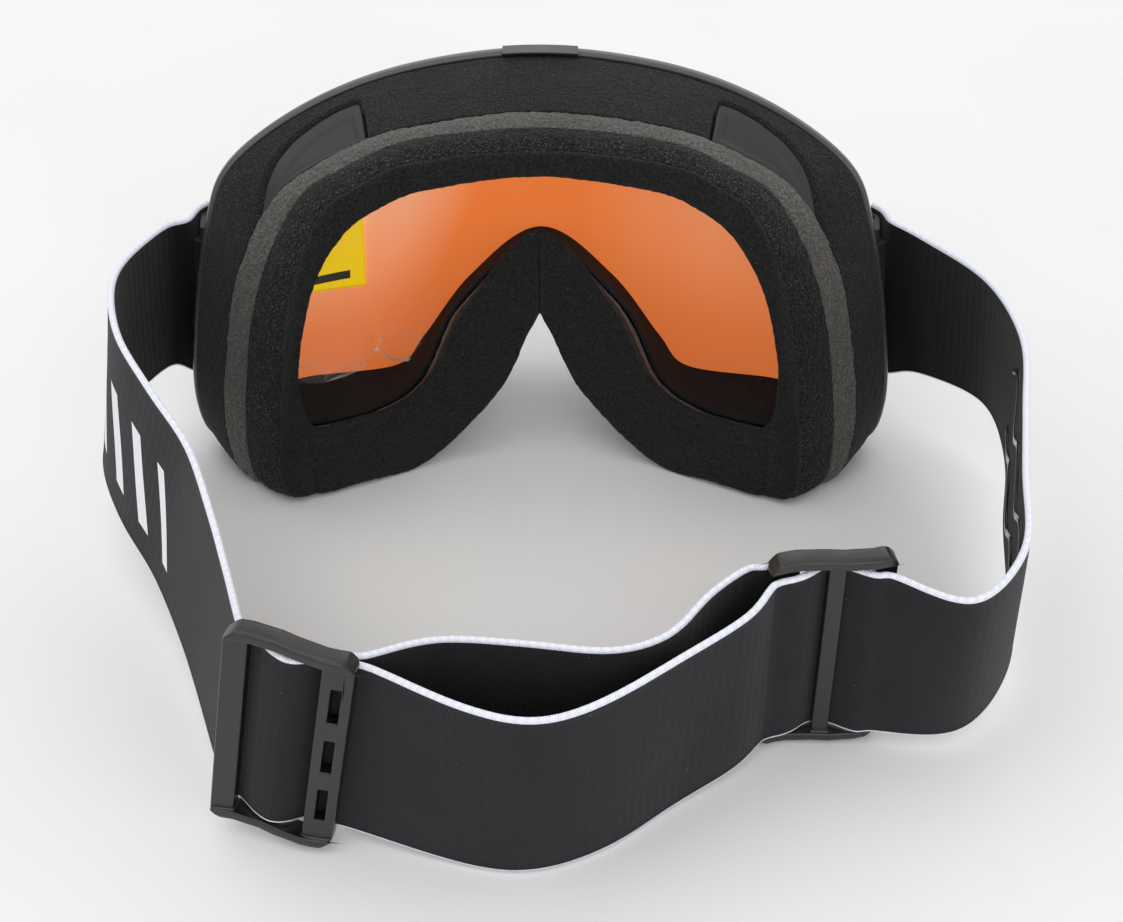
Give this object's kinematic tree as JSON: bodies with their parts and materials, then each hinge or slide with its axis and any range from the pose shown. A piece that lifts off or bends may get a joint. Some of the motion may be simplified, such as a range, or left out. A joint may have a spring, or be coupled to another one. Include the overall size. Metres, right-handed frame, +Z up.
{
  "type": "ski goggles",
  "caption": "Wide snow sports goggles with a curved lens, layered face foam, hinged side strap clips and an adjustable elastic strap with slide buckles.",
  "frame": {"origin": "centre of the bounding box in plan, on the surface the goggles stand on", "axes": "+X to the left eye side as seen from in front, +Y from the wearer's face towards the lens, +Z up towards the brow"},
  "size_m": [0.2282, 0.1788, 0.1002],
  "materials": {
    "frame_tpu": "satin moulded TPU",
    "outer_lens_tint": "gloss tinted polycarbonate",
    "inner_lens_orange": "gloss orange cellulose sheet",
    "spacer_foam": "matt closed-cell foam",
    "cover_foam": "fine open-cell foam",
    "brow_pad": "smooth satin",
    "foam_grey": "fine open-cell foam",
    "foam_black": "coarse open-cell foam",
    "fleece": "short-pile fleece",
    "badge": "gloss black",
    "film": "clear film",
    "label": "printed film",
    "webbing": "woven elastic",
    "silicone": "gloss silicone",
    "slider": "satin moulded acetal",
    "clip": "satin moulded nylon",
    "pin_steel": "plain steel"
  },
  "bodies": {
    "goggle_frame": {"brow_pad_left": "brow_pad", "brow_pad_right": "brow_pad", "brow_plate": "badge", "face_fleece": "fleece", "face_foam_base": "foam_grey", "face_foam_top": "foam_black", "film_label": "label", "frame_shell": "frame_tpu", "grip_wave_left_lower": "silicone", "grip_wave_left_upper": "silicone", "grip_wave_right_lower": "silicone", "grip_wave_right_upper": "silicone", "hinge_lug_left_lower": "frame_tpu", "hinge_lug_left_upper": "frame_tpu", "hinge_lug_right_lower": "frame_tpu", "hinge_lug_right_upper": "frame_tpu", "hinge_pin_left": "pin_steel", "hinge_pin_right": "pin_steel", "inner_lens": "inner_lens_orange", "lens_spacer_gasket": "spacer_foam", "outer_lens": "outer_lens_tint", "protective_film": "film", "strap_left": "webbing", "strap_right": "webbing", "vent_foam_lower_left": "cover_foam", "vent_foam_lower_right": "cover_foam", "vent_foam_upper": "cover_foam"},
    "left_clip": {"strap_clip_left": "clip"},
    "right_clip": {"strap_clip_right": "clip"},
    "left_slider": {"slider_left": "slider"},
    "right_slider": {"slider_right": "slider"}
  },
  "joints": [
    {"name": "left_clip_hinge", "type": "hinge", "parent": "goggle_frame", "child": "left_clip", "pos_m": [-0.09115, 0.06242, 0.04336], "axis": [0.0933, 0.0145, 0.9955], "range_deg": [-25, 2], "deforming": ["strap_left", "grip_wave_left_upper", "grip_wave_left_lower"]},
    {"name": "right_clip_hinge", "type": "hinge", "parent": "goggle_frame", "child": "right_clip", "pos_m": [0.08135, 0.06242, 0.04336], "axis": [-0.0933, 0.0145, 0.9955], "range_deg": [-2, 25], "deforming": ["strap_right", "grip_wave_right_upper", "grip_wave_right_lower"]},
    {"name": "left_slider_slide", "type": "slide", "parent": "goggle_frame", "child": "left_slider", "axis": [0.9803, -0.1975, 0], "range_m": [-0.005, 0.025], "deforming": ["strap_left", "strap_right"]},
    {"name": "right_slider_slide", "type": "slide", "parent": "goggle_frame", "child": "right_slider", "axis": [-0.9918, -0.128, 0], "range_m": [-0.012, 0.01], "deforming": ["strap_left", "strap_right"]}
  ]
}
